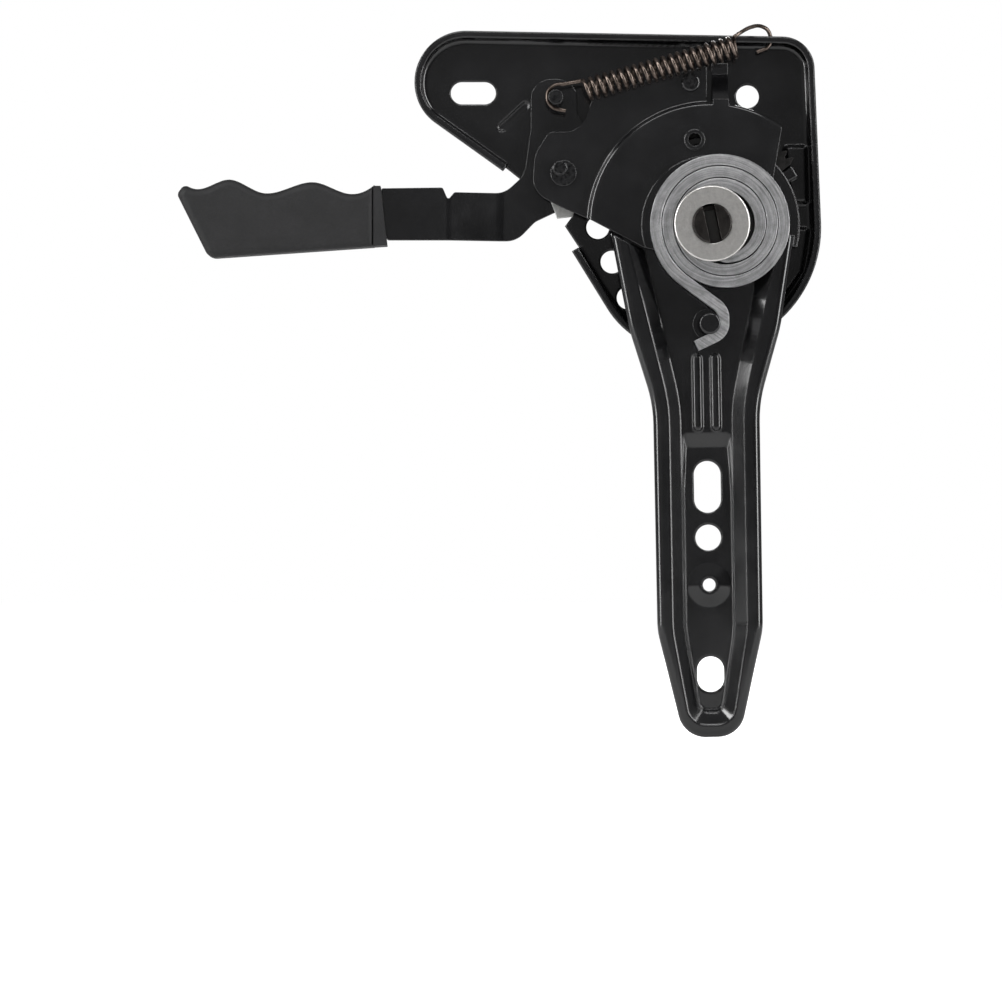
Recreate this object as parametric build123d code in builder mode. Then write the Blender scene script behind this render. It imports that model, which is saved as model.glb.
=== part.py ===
from build123d import *
import os
from math import cos, hypot, radians, sin, tan

# Chair recline adjuster: a pressed bracket that bolts to the seat frame, a long pressed arm that
# carries the backrest, and a hand lever whose toothed pawl locks the arm's toothed sector.
# Millimetres. +X is to the right and +Z up as seen from the working side, which faces -Y.
# The origin is on the main pin's axis, in the plane of the bracket's outer, bolted face.

# Depths are measured from the bolted face towards the working side.
BRACKET_SHEET = 2.5
FLANGE_DEPTH = 9.5
BEND_IN = 1.9
BEND_OUT = BEND_IN + BRACKET_SHEET
PIVOT_BOSS_RISE = 2.5
RUN_GAP = 0.1
SECTOR_THICK = 4.0
ARM_SHEET = 2.4
ARM_DEPTH = 6.2
COVER_SHEET = 2.0
COVER_STEP = 3.1
COVER_PAD_RISE = 1.0
INNER_THRUST_THICK = 0.9
OUTER_THRUST_THICK = 0.9
LEVER_THICK = 3.0
LEVER_FLOOR_GAP = 0.3
STRIP_THICK = 4.0
STRIP_WIDE = 8.0
COIL_GAP = 0.3
WASHER_THICK = 2.0
PIN_PROUD = 1.1

# Bracket outline and its holes
EAR_LEFT = -109.8
TOP_LEFT_Z = 72.6
TOP_RIGHT = 38.1
TOP_RIGHT_Z = 69.9
BOTTOM_RIGHT = 43.0
BOTTOM_Z = -46.8
BOTTOM_LEFT = -28.3
WAIST = (-64.1, 11.2)
EAR_LOW_Z = 43.8
EAR_TOP_R = 19.0
EAR_LOW_R = 18.0
TOP_RIGHT_R = 12.0
BOTTOM_RIGHT_R = 46.0
BOTTOM_LEFT_R = 34.0
WAIST_R = 20.0
SLOT_AT = (-88.0, 49.6)
SLOT_LONG = 16.8
SLOT_WIDE = 8.4
BOLT_HOLE_AT = (14.0, 48.3)
BOLT_HOLE_R = 4.3
RELIEF_HOLES = [(-41.7, -0.4), (-36.4, -13.2), (-30.4, -26.6)]
RELIEF_HOLE_R = 4.25
BOSS_TOP_R = 10.0
BOSS_FOOT_R = 17.0
SPRING_EYE_X = 21.8
SPRING_EYE_R = 1.6

# Toothed sector and pawl
TOOTH_TIP_R = 39.5
TOOTH_DEPTH = 2.2
TOOTH_PITCH = 5.0
SECTOR_FROM = 37.0
SECTOR_TO = 152.0
SECTOR_HUB_R = 17.0
PAWL_GAP = 17
PAWL_TEETH = 3
PAWL_CLEAR = 0.3
STOP_GAP_ANGLE = 0.5
STOP_FROM_R = 31.5
STOP_TO_R = 37.2
STOP_WIDE_ANGLE = 7.0
STOP_HIGH = 6.3
PAWL_BACK = 8.0
RIVET_RING_R = 27.0
RIVET_ANGLES = [62.0, 100.0, 138.0]
SECTOR_RIVET_R = 3.0
SECTOR_RIVET_HEAD_R = 4.6
SECTOR_RIVET_HEAD = 1.4

# Main pin
PIN_SHANK_R = 8.5
PIN_NECK_R = 7.3
PIN_TENON_R = 4.6
PIN_STAKE_R = 5.6
PIN_STAKE_HIGH = 1.7
PIN_FIT = 0.06
PIN_CHAMFER = 0.5
SLOT_FIT = 0.15
THRUST_R = 15.5
FRONT_WASHER_R = 14.0
FRONT_WASHER_EDGE_R = 0.6

# Recline arm: half widths across its own centre line, which leans a little from the pivot
ARM_LEAN = 1.0
ARM_AXIS_X = -2.9
ARM_TOP_RIGHT = (34.6, 1.6)
ARM_TOP_LEFT = (-35.0, 1.6)
ARM_SHOULDER = (28.0, -38.0)
ARM_NECK = (19.7, -66.0)
ARM_TAPER = (19.5, -150.0)
ARM_END = (10.4, -189.5)
ARM_TOP_R = 4.5
ARM_EDGE_R = 2.6
ARM_COVER_GAP = 1.2
CREST_TOP = (28.5, 2.0)
CREST_MOUTH = (27.6, -8.0)
CREST_NECK = (14.0, -66.0)
CREST_TAPER = (14.0, -150.0)
CREST_END = (8.0, -185.0)
FOOT_TOP = (23.2, 2.0)
FOOT_MOUTH = (22.3, -6.0)
FOOT_NECK = (9.3, -66.0)
FOOT_TAPER = (9.3, -150.0)
FOOT_END = (4.4, -180.5)
FAN_R = 33.0
FAN_LOW_Z = -8.0
FAN_CLEAR = 1.0
FAN_CLEAR_LOW_Z = -4.0
PAD_STEP = 1.2
PAD_RIM = [(8.7, -77.0), (9.2, -97.0), (9.2, -150.0), (4.4, -180.2)]
PAD_FLOOR = [(7.4, -82.0), (8.7, -99.0), (8.7, -150.0), (4.0, -179.4)]
BEAD_AT = [(-3.1, -62.0), (3.6, -62.0)]
BEAD_LONG = 29.0
BEAD_WIDE = 4.0
BEAD_RISE = 1.2
BEAD_DRAFT = 35.0
LONG_SLOT = (-96.9, 19.2, 10.0)
ROUND_HOLE_Z = -115.7
ROUND_HOLE_R = 4.8
DIMPLE_Z = -133.2
DIMPLE_FOOT_R = 7.9
DIMPLE_TOP_R = 4.0
DIMPLE_RISE = 1.3
DIMPLE_HOLE_R = 2.4
END_SLOT = (-166.3, 13.2, 10.0)

# Guide cover
COVER_ARC_R = 45.3
COVER_RIGHT_TOP = (26.3, 36.7)
COVER_RIGHT_LOW = (22.9, 16.7)
COVER_HUB_R = 19.5
COVER_LOW_LEFT = (-45.2, 2.3)
COVER_LOW_TURN = (-24.8, -8.4)
COVER_PAD_R = 25.7
COVER_COLLAR_AT = (-6.1, 31.5)
COVER_COLLAR_R = 3.75
COVER_COLLAR_HOLE_R = 2.4
COVER_COLLAR_HIGH = 1.2
COVER_FOOT_R = 1.2
COVER_BROW_R = 1.4
COVER_LEG_X = (0.6, 6.6)
COVER_LEG_FOOT_Z = 57.5
COVER_TOP_Z = 59.0

# Rivets, posts and spacers
COVER_RIVET_AT = (-7.5, 52.8)
COVER_RIVET_R = 2.2
COVER_RIVET_HEAD_R = 3.5
COVER_RIVET_HEAD = 1.7
COVER_RIVET_EDGE_R = 1.0
COVER_SPACER_R = 4.6
LEVER_PIVOT = (-54.6, 19.3)
LEVER_RIVET_R = 3.4
LEVER_RIVET_FLANGE_R = 4.8
LEVER_RIVET_FLANGE = 0.9
LEVER_RIVET_PEEN_R = 2.6
LEVER_RIVET_PEEN = 1.2
LEVER_RIVET_PEEN_OFF = (-1.3, 1.9)
LEVER_RIVET_EDGE_R = 0.5
LEVER_SPACER_R = 6.0
RIVET_FIT = 0.05
TURN_FIT = 0.07
PAWL_RIVET_AT = (-50.0, 30.5)
PAWL_RIVET_R = 2.6
LEVER_POST_AT = (-57.5, 47.0)
LEVER_POST_R = 1.9
LEVER_POST_HEAD_R = 2.7
LEVER_POST_HEAD = 1.0
LEVER_POST_PROUD = 1.2
ARM_POST_AT = (-0.8, -36.8)
ARM_POST_R = 3.0
ARM_POST_BASE_R = 6.0
ARM_POST_HEAD_R = 3.9
ARM_POST_HEAD = 1.6

# Clock spring, wound inwards from its leg in half turns about two centres
COIL_CENTRE_X = 3.0
COIL_R = 23.65
COIL_PITCH = 4.4
COIL_TURNS = 2
LEG_ANGLE = 233.0
HOOK_SIDE_GAP = 0.15
HOOK_TIP = (-5.6, -44.9)
HOOK_BEND_R = 6.0
HOOK_TURN_SHARE = 0.64
TANG_TURN_R = 3.6
TANG_END = 5.0
TANG_LEAN = 12.0
TANG_BEND_CLEAR = 5.0

# Extension spring
WIRE = 1.5
WIRE_SIDES = 8
EXT_OUTER_R = 4.45
EXT_TURNS = 21
HOOK_R = 1.8
WIRE_KNUCKLE_R = 0.55 * WIRE
EXT_CLEAR = 0.8
EYE_CUT = 15.0
EXT_FROM = (-46.6, 49.7)
EXT_TO = (9.6, 65.9)

# Release lever and grip
LEVER_END_X = -186.0
GRIP_JOGGLE = 8.0
JOGGLE_FROM = -78.0
JOGGLE_TO = -97.0
JOGGLE_FROM_R = 6.0
JOGGLE_TO_R = 9.0
GRIP_THICK = 17.0
GRIP_SIDE_R = 2.8
GRIP_TIP_R = 2.2
GRIP_HEEL_R = 4.0
COLLAR_INSET = 0.5
GRIP_END_X = -119.6
GRIP_FIT = 0.1

# Depths worked out from the stack
BOSS_TOP = BRACKET_SHEET + PIVOT_BOSS_RISE
SECTOR_FRONT = BOSS_TOP + INNER_THRUST_THICK + RUN_GAP + SECTOR_THICK
SECTOR_BACK = SECTOR_FRONT - SECTOR_THICK
ARM_BACK = SECTOR_FRONT
ARM_FACE = ARM_BACK + ARM_SHEET
ARM_CREST = ARM_BACK + ARM_DEPTH
COVER_HIGH_BACK = ARM_FACE + RUN_GAP + OUTER_THRUST_THICK
COVER_HIGH_FACE = COVER_HIGH_BACK + COVER_SHEET
COVER_LOW_BACK = COVER_HIGH_BACK - COVER_STEP
COVER_LOW_FACE = COVER_LOW_BACK + COVER_SHEET
COVER_PAD_FACE = COVER_HIGH_FACE + COVER_PAD_RISE
COIL_BACK = COVER_PAD_FACE + COIL_GAP
COIL_FACE = COIL_BACK + STRIP_WIDE
WASHER_BACK = COIL_FACE + COIL_GAP
WASHER_FACE = WASHER_BACK + WASHER_THICK
PIN_TOP = WASHER_FACE + PIN_PROUD
LEVER_BACK = BRACKET_SHEET + LEVER_FLOOR_GAP
LEVER_FACE = LEVER_BACK + LEVER_THICK
EXT_DEPTH = COVER_LOW_FACE + EXT_OUTER_R + EXT_CLEAR
POST_TOP = EXT_DEPTH + WIRE + LEVER_POST_PROUD
EYE_DEPTH = (BEND_OUT + FLANGE_DEPTH) / 2
GRIP_MIDDLE = LEVER_BACK + LEVER_THICK / 2 + GRIP_JOGGLE


def depth(d):
    """Sketch plane at a depth: its x is +X, its y is +Z, and it faces the working side."""
    return Plane.XZ.offset(d)


def arm_depth(d):
    """The same, along the arm's own leaning centre line."""
    lean = radians(ARM_LEAN)
    return Plane(origin=(ARM_AXIS_X, -d, 0), x_dir=(cos(lean), 0, sin(lean)), z_dir=(0, -1, 0))


def polar(radius, angle, centre=(0, 0)):
    """Point at a radius and an angle in degrees."""
    turn = radians(angle)
    return (centre[0] + radius * cos(turn), centre[1] + radius * sin(turn))


def rounded(points, radii):
    """Closed face with a rounded corner at each point."""
    with BuildLine() as outline:
        FilletPolyline(*points, radius=radii, close=True)
    make_face(outline.edges())


def mirrored_outline(right_side):
    """Points of an outline that is the same on both sides of its centre line, from the right."""
    return list(right_side) + [(-x, z) for x, z in reversed(right_side)]


def cylinder_from(centre, radius, low, high, mode=Mode.ADD):
    """Round boss or hole between two depths."""
    with BuildSketch(depth(low)) as disc:
        with Locations(centre):
            Circle(radius)
    extrude(disc.sketch, amount=high - low, mode=mode)


# Base bracket
BRACKET_POINTS = [
    (EAR_LEFT, TOP_LEFT_Z),
    (TOP_RIGHT, TOP_RIGHT_Z),
    (BOTTOM_RIGHT, BOTTOM_Z),
    (BOTTOM_LEFT, BOTTOM_Z),
    WAIST,
    (EAR_LEFT, EAR_LOW_Z),
]
BRACKET_RADII = [EAR_TOP_R, TOP_RIGHT_R, BOTTOM_RIGHT_R, BOTTOM_LEFT_R, WAIST_R, EAR_LOW_R]
OPEN_EDGE_INSIDE = [(-72.4, 26.9), (-56.0, 16.0), (-44.0, -5.0)]
OPEN_EDGE_OUTSIDE = [(-59.0, -14.2), (-74.0, 6.0), (-81.6, 13.9)]
BARE_EDGE = [(-48.6, -7.9), (-53.9, 0.1), (-51.3, 3.6), (-70.3, 17.4), (-76.0, 21.9)]
UPPER_PAD = [(27.0, 30.5), (36.6, 30.5), (37.0, 8.0), (29.0, 8.0)]
LOWER_PAD = [(30.5, 0.0), (37.6, 0.0), (35.2, -17.0), (26.0, -29.5), (22.0, -26.0)]
stop_angle = SECTOR_FROM - STOP_GAP_ANGLE
STOP_LUG = [
    polar(STOP_FROM_R, stop_angle),
    polar(STOP_TO_R, stop_angle),
    polar(STOP_TO_R, stop_angle - STOP_WIDE_ANGLE),
    polar(STOP_FROM_R, stop_angle - STOP_WIDE_ANGLE),
]
GROOVE_AT = (-73.0, 40.9)
GROOVE_END = (-68.7, 44.9)
GROOVE_WIDE = 3.4
GROOVE_DEEP = 0.7
GROOVE_DRAFT = 45.0
PAD_RISE = 2.2
PAD_DRAFT = 35.0
PAD_CORNER_R = 2.0


def emboss(points, rise, corner_r, draft):
    """Pressed pad: raised inside the tray, with the matching hollow in the bolted face."""
    with BuildSketch(depth(BRACKET_SHEET)) as pad:
        rounded(points, corner_r)
    extrude(pad.sketch, amount=rise, taper=draft)
    with BuildSketch(depth(0)) as hollow:
        rounded(points, corner_r)
        offset(amount=-BRACKET_SHEET * tan(radians(draft)) / 2, mode=Mode.REPLACE)
    extrude(hollow.sketch, amount=rise, taper=draft, mode=Mode.SUBTRACT)


with BuildPart() as base_bracket:
    with BuildSketch(depth(0)):
        rounded(BRACKET_POINTS, BRACKET_RADII)
    extrude(amount=FLANGE_DEPTH)
    fillet(base_bracket.faces().sort_by(Axis.Y)[-1].edges(), BEND_OUT)
    with BuildSketch(depth(BRACKET_SHEET)):
        rounded(BRACKET_POINTS, BRACKET_RADII)
        offset(amount=-BRACKET_SHEET, mode=Mode.REPLACE)
    extrude(amount=FLANGE_DEPTH, mode=Mode.SUBTRACT)
    floor = base_bracket.faces().filter_by(Plane.XZ).sort_by(Axis.Y)[-2]
    fillet(floor.edges(), BEND_IN)
    with BuildSketch(depth(0)):
        with BuildLine():
            Polyline(*OPEN_EDGE_INSIDE, *OPEN_EDGE_OUTSIDE, close=True)
        make_face()
    extrude(amount=FLANGE_DEPTH, mode=Mode.SUBTRACT)
    with BuildSketch(depth(0)):
        with BuildLine():
            Polyline(*OPEN_EDGE_INSIDE, *BARE_EDGE, close=True)
        make_face()
    extrude(amount=BRACKET_SHEET)
    with BuildSketch(depth(BRACKET_SHEET)):
        Circle(BOSS_FOOT_R)
    with BuildSketch(depth(BOSS_TOP)):
        Circle(BOSS_TOP_R)
    loft()
    with BuildSketch(depth(0)):
        Circle(BOSS_FOOT_R - BEND_IN)
    with BuildSketch(depth(PIVOT_BOSS_RISE)):
        Circle(BOSS_TOP_R - BEND_IN)
    loft(mode=Mode.SUBTRACT)
    emboss(UPPER_PAD, PAD_RISE, PAD_CORNER_R, PAD_DRAFT)
    emboss(LOWER_PAD, PAD_RISE, PAD_CORNER_R, PAD_DRAFT)
    with BuildSketch(depth(BRACKET_SHEET + PAD_RISE / 2)):
        with BuildLine():
            Polyline(*STOP_LUG, close=True)
        make_face()
    extrude(amount=STOP_HIGH - PAD_RISE / 2)
    with BuildSketch(depth(BRACKET_SHEET)):
        SlotCenterPoint(GROOVE_AT, GROOVE_END, GROOVE_WIDE)
    extrude(amount=-GROOVE_DEEP, taper=GROOVE_DRAFT, mode=Mode.SUBTRACT)
    with BuildSketch(depth(0)):
        with Locations(SLOT_AT):
            SlotOverall(SLOT_LONG, SLOT_WIDE)
        with Locations(BOLT_HOLE_AT):
            Circle(BOLT_HOLE_R)
        with Locations(*RELIEF_HOLES):
            Circle(RELIEF_HOLE_R)
        Circle(PIN_TENON_R + RIVET_FIT)
        with Locations(COVER_RIVET_AT):
            Circle(COVER_RIVET_R + RIVET_FIT)
        with Locations(LEVER_PIVOT):
            Circle(LEVER_RIVET_R + RIVET_FIT)
    extrude(amount=FLANGE_DEPTH, mode=Mode.SUBTRACT)
    with BuildSketch(Plane.XY.offset(TOP_RIGHT_Z - EYE_CUT)):
        with Locations((SPRING_EYE_X, -EYE_DEPTH)):
            Circle(SPRING_EYE_R)
    extrude(amount=2 * EYE_CUT, mode=Mode.SUBTRACT)
base_bracket.part.label = "base_bracket"


# Toothed sector
def tooth_ring(first, last):
    """Points along a toothed edge, from one angle to another, with sloping flanks."""
    count = round((last - first) / TOOTH_PITCH)
    points = []
    for tooth in range(count):
        start = first + tooth * TOOTH_PITCH
        for share, radius in ((0.1, -TOOTH_DEPTH), (0.42, 0), (0.58, 0), (0.9, -TOOTH_DEPTH)):
            points.append(polar(TOOTH_TIP_R + radius, start + share * TOOTH_PITCH))
    return points


with BuildPart() as toothed_sector:
    with BuildSketch(depth(SECTOR_BACK)):
        with BuildLine():
            Polyline((0, 0), *tooth_ring(SECTOR_FROM, SECTOR_TO), close=True)
        make_face()
        Circle(SECTOR_HUB_R)
        Circle(PIN_SHANK_R + TURN_FIT, mode=Mode.SUBTRACT)
        with Locations(*[polar(RIVET_RING_R, angle) for angle in RIVET_ANGLES]):
            Circle(SECTOR_RIVET_R + RIVET_FIT, mode=Mode.SUBTRACT)
    extrude(amount=SECTOR_THICK)
toothed_sector.part.label = "toothed_sector"

with BuildPart() as sector_rivets:
    for rivet_angle in RIVET_ANGLES:
        rivet_at = polar(RIVET_RING_R, rivet_angle)
        cylinder_from(rivet_at, SECTOR_RIVET_R, SECTOR_BACK, ARM_FACE)
        cylinder_from(rivet_at, SECTOR_RIVET_HEAD_R, SECTOR_BACK - SECTOR_RIVET_HEAD, SECTOR_BACK)
sector_rivets.part.label = "sector_rivets"


# Recline arm
ARM_POINTS = [
    ARM_TOP_RIGHT,
    *mirrored_outline([ARM_SHOULDER, ARM_NECK, ARM_TAPER, ARM_END]),
    ARM_TOP_LEFT,
]
ARM_RADII = [ARM_TOP_R, 60.0, 50.0, 25.0, 10.2, 10.2, 25.0, 50.0, 60.0, ARM_TOP_R]
CREST_POINTS = mirrored_outline([CREST_TOP, CREST_MOUTH, CREST_NECK, CREST_TAPER, CREST_END])
CREST_RADII = [0.0, 20.0, 70.0, 40.0, 7.0, 7.0, 40.0, 70.0, 20.0, 0.0]
FOOT_POINTS = mirrored_outline([FOOT_TOP, FOOT_MOUTH, FOOT_NECK, FOOT_TAPER, FOOT_END])
FOOT_RADII = [0.0, 20.0, 70.0, 40.0, 3.8, 3.8, 40.0, 70.0, 20.0, 0.0]
PAD_RADII = [1.0, 30.0, 40.0, 3.4, 3.4, 40.0, 30.0, 1.0]
WALL_GROW = ARM_SHEET / 2
edge_fall = (COVER_LOW_TURN[1] - COVER_LOW_LEFT[1]) / (COVER_LOW_TURN[0] - COVER_LOW_LEFT[0])
edge_near = COVER_LOW_TURN[1] - ARM_COVER_GAP
ARM_COVER_EDGE = [
    (COVER_LOW_TURN[0], edge_near),
    (COVER_LOW_TURN[0] - COVER_HUB_R, edge_near - COVER_HUB_R * edge_fall),
    (COVER_LOW_TURN[0] - COVER_HUB_R, COVER_HUB_R),
    (COVER_LOW_TURN[0] + ARM_SHEET, COVER_HUB_R),
    (COVER_LOW_TURN[0] + ARM_SHEET, edge_near),
]


def pressed(low, low_points, low_radii, high, high_points, high_radii, grow=0.0, mode=Mode.ADD):
    """Sloping form between an outline at one depth and an outline at another, along the arm."""
    ends = []
    for level, points, radii in ((low, low_points, low_radii), (high, high_points, high_radii)):
        with BuildSketch(arm_depth(level)) as end:
            rounded(points, radii)
            if grow:
                offset(amount=grow, kind=Kind.INTERSECTION, mode=Mode.REPLACE)
        ends.append(end.sketch.face())
    loft(ends, mode=mode)


def dimple(foot_level, mode):
    """Round cone that the pad rises to, round its small hole."""
    ends = []
    for level, radius in ((foot_level, DIMPLE_FOOT_R), (foot_level + DIMPLE_RISE, DIMPLE_TOP_R)):
        with BuildSketch(arm_depth(level)) as end:
            with Locations((0, DIMPLE_Z)):
                Circle(radius)
        ends.append(end.sketch.face())
    loft(ends, mode=mode)


with BuildPart() as recline_arm:
    with BuildSketch(arm_depth(ARM_FACE)):
        rounded(ARM_POINTS, ARM_RADII)
    extrude(amount=ARM_CREST - ARM_FACE)
    fillet(recline_arm.faces().sort_by(Axis.Y)[0].edges(), ARM_EDGE_R)
    with BuildSketch(arm_depth(ARM_FACE)):
        rounded(ARM_POINTS, ARM_RADII)
        offset(amount=-ARM_SHEET, mode=Mode.REPLACE)
    extrude(amount=ARM_CREST - ARM_SHEET - ARM_FACE, mode=Mode.SUBTRACT)
    crest = (CREST_POINTS, CREST_RADII)
    foot = (FOOT_POINTS, FOOT_RADII)
    rim = (mirrored_outline(PAD_RIM), PAD_RADII)
    floor = (mirrored_outline(PAD_FLOOR), PAD_RADII)
    pressed(ARM_BACK, *foot, ARM_CREST - ARM_SHEET, *crest, grow=WALL_GROW)
    pressed(ARM_BACK - PAD_STEP, *floor, ARM_BACK, *rim, grow=WALL_GROW)
    with BuildSketch(depth(ARM_BACK)):
        Circle(FAN_R)
        with Locations((0, FAN_LOW_Z - FAN_R)):
            Rectangle(2 * (FAN_R + FAN_CLEAR), 2 * FAN_R, mode=Mode.SUBTRACT)
    extrude(amount=ARM_SHEET)
    pressed(ARM_FACE, *foot, ARM_CREST, *crest, mode=Mode.SUBTRACT)
    pressed(ARM_FACE - PAD_STEP, *floor, ARM_FACE, *rim, mode=Mode.SUBTRACT)
    with BuildSketch(arm_depth(ARM_FACE)):
        with Locations(*BEAD_AT):
            SlotOverall(BEAD_LONG, BEAD_WIDE, rotation=90)
    extrude(amount=BEAD_RISE, taper=BEAD_DRAFT)
    with BuildSketch(arm_depth(ARM_BACK)):
        with Locations(*BEAD_AT):
            SlotOverall(BEAD_LONG - BEAD_RISE, BEAD_WIDE - BEAD_RISE, rotation=90)
    extrude(amount=BEAD_RISE, taper=BEAD_DRAFT, mode=Mode.SUBTRACT)
    dimple(ARM_FACE - PAD_STEP, Mode.ADD)
    dimple(ARM_BACK - PAD_STEP, Mode.SUBTRACT)
    with BuildSketch(depth(ARM_FACE)):
        Circle(FAN_R + FAN_CLEAR)
        with Locations((0, FAN_CLEAR_LOW_Z - FAN_R)):
            Rectangle(2 * (FAN_R + 2 * FAN_CLEAR), 2 * FAN_R, mode=Mode.SUBTRACT)
    extrude(amount=ARM_DEPTH, mode=Mode.SUBTRACT)
    with BuildSketch(depth(ARM_FACE)):
        with BuildLine():
            Polyline(*ARM_COVER_EDGE, close=True)
        make_face()
    extrude(amount=ARM_DEPTH, mode=Mode.SUBTRACT)
    with BuildSketch(arm_depth(ARM_BACK - PAD_STEP)):
        with Locations((0, LONG_SLOT[0])):
            SlotOverall(LONG_SLOT[1], LONG_SLOT[2], rotation=90)
        with Locations((0, END_SLOT[0])):
            SlotOverall(END_SLOT[1], END_SLOT[2], rotation=90)
        with Locations((0, ROUND_HOLE_Z)):
            Circle(ROUND_HOLE_R)
        with Locations((0, DIMPLE_Z)):
            Circle(DIMPLE_HOLE_R)
    extrude(amount=ARM_DEPTH, mode=Mode.SUBTRACT)
    with BuildSketch(depth(ARM_BACK)):
        Circle(PIN_SHANK_R + TURN_FIT)
        with Locations(*[polar(RIVET_RING_R, angle) for angle in RIVET_ANGLES]):
            Circle(SECTOR_RIVET_R + RIVET_FIT)
        with Locations(ARM_POST_AT):
            Circle(ARM_POST_R + RIVET_FIT)
    extrude(amount=ARM_SHEET, mode=Mode.SUBTRACT)
recline_arm.part.label = "recline_arm"

with BuildPart() as arm_spring_post:
    cylinder_from(ARM_POST_AT, ARM_POST_R, ARM_BACK, COIL_FACE + COIL_GAP)
    cylinder_from(ARM_POST_AT, ARM_POST_BASE_R, ARM_FACE, ARM_FACE + ARM_SHEET)
    cylinder_from(ARM_POST_AT, ARM_POST_HEAD_R, COIL_FACE + COIL_GAP, COIL_FACE + COIL_GAP + ARM_POST_HEAD)
    fillet(arm_spring_post.faces().sort_by(Axis.Y)[0].edges(), ARM_POST_HEAD / 2)
arm_spring_post.part.label = "arm_spring_post"


# Guide cover
COVER_HUB_FROM = 32.0
COVER_HUB_START = polar(COVER_HUB_R, COVER_HUB_FROM)
COVER_HUB_LOW = polar(COVER_HUB_R, COVER_HUB_FROM - 90)
COVER_HUB_END = polar(COVER_HUB_R, COVER_HUB_FROM + 180)
COVER_ARC_MIDDLE = 115.0


def cover_high_outline():
    """High region: a sector over the teeth, closed round the main pin under the coil."""
    with BuildLine() as outline:
        ThreePointArc(COVER_LOW_LEFT, polar(COVER_ARC_R, COVER_ARC_MIDDLE), COVER_RIGHT_TOP)
        Polyline(COVER_RIGHT_TOP, COVER_RIGHT_LOW, COVER_HUB_START)
        ThreePointArc(COVER_HUB_START, COVER_HUB_LOW, COVER_HUB_END)
        Polyline(COVER_HUB_END, COVER_LOW_TURN, COVER_LOW_LEFT)
    make_face(outline.edges())


COVER_LOW_POINTS = [
    (-43.5, 1.6),
    (-55.5, 6.7),
    (-66.2, 12.4),
    (-65.2, 26.0),
    (-60.0, 34.6),
    (-48.0, 34.6),
    (-43.6, 47.6),
    (-38.0, 50.0),
    (-1.5, COVER_TOP_Z),
    (-1.5, 30.0),
    (-30.0, 10.0),
]
COVER_LOW_RADII = [0.0, 3.0, 9.0, 9.0, 3.0, 9.0, 2.5, 8.0, 0.0, 0.0, 0.0]
COVER_OPEN_RIGHT = [polar(35, 88), polar(70, 88), polar(70, 30), polar(20, 0)]
COVER_OPEN_LOW = [(-60, -5), (-38.5, 5.6), (-20, 10), (30, 5), (30, -30), (-60, -30)]
COVER_LEG = [
    (-COVER_HIGH_FACE, 43.0),
    (-COVER_HIGH_FACE, 46.5),
    (-BRACKET_SHEET - COVER_SHEET, COVER_LEG_FOOT_Z - 1),
    (-BRACKET_SHEET - COVER_SHEET, COVER_LEG_FOOT_Z + 3),
    (-BRACKET_SHEET, COVER_LEG_FOOT_Z + 3),
    (-BRACKET_SHEET, COVER_LEG_FOOT_Z - 2.2),
    (-COVER_HIGH_BACK, 45.0),
    (-COVER_HIGH_BACK, 43.0),
]

with BuildPart() as guide_cover:
    with BuildSketch(depth(COVER_LOW_BACK)):
        cover_high_outline()
    extrude(amount=COVER_HIGH_FACE - COVER_LOW_BACK)
    with BuildSketch(depth(COVER_LOW_BACK)):
        rounded(COVER_LOW_POINTS, COVER_LOW_RADII)
    extrude(amount=COVER_SHEET)
    with BuildSketch(depth(COVER_LOW_BACK)):
        Circle(COVER_ARC_R - COVER_SHEET)
        with BuildLine():
            Polyline(*COVER_OPEN_RIGHT, close=True)
        make_face()
        with BuildLine():
            Polyline(*COVER_OPEN_LOW, close=True)
        make_face()
    extrude(amount=COVER_STEP, mode=Mode.SUBTRACT)
    step_edges = guide_cover.edges().filter_by(GeomType.CIRCLE)
    step_edges = step_edges.filter_by(lambda edge: edge.radius > FAN_R)
    fillet(step_edges.sort_by(Axis.Y)[0], COVER_BROW_R)
    step_foot = (-COVER_LOW_FACE - RUN_GAP, -COVER_LOW_FACE + RUN_GAP)
    fillet(step_edges.filter_by_position(Axis.Y, *step_foot), COVER_FOOT_R)
    with BuildSketch(depth(COVER_HIGH_FACE)):
        cover_high_outline()
        Circle(COVER_PAD_R, mode=Mode.INTERSECT)
    extrude(amount=COVER_PAD_RISE)
    with BuildSketch(depth(COVER_HIGH_BACK)):
        Circle(COVER_PAD_R - COVER_SHEET / 2)
    extrude(amount=COVER_PAD_RISE, mode=Mode.SUBTRACT)
    cylinder_from(COVER_COLLAR_AT, COVER_COLLAR_R, COVER_HIGH_BACK, COVER_HIGH_FACE + COVER_COLLAR_HIGH)
    cylinder_from(COVER_COLLAR_AT, COVER_COLLAR_HOLE_R, COVER_LOW_BACK, COIL_FACE, Mode.SUBTRACT)
    with BuildSketch(Plane.YZ.offset(COVER_LEG_X[0])):
        with BuildLine():
            Polyline(*COVER_LEG, close=True)
        make_face()
    extrude(amount=COVER_LEG_X[1] - COVER_LEG_X[0])
    with BuildSketch(depth(COVER_LOW_BACK)):
        Circle(PIN_NECK_R + PIN_FIT)
        with Locations(COVER_RIVET_AT):
            Circle(COVER_RIVET_R + RIVET_FIT)
        with Locations(LEVER_PIVOT):
            Circle(LEVER_RIVET_R + RIVET_FIT)
    extrude(amount=ARM_DEPTH, mode=Mode.SUBTRACT)
guide_cover.part.label = "guide_cover"


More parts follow.
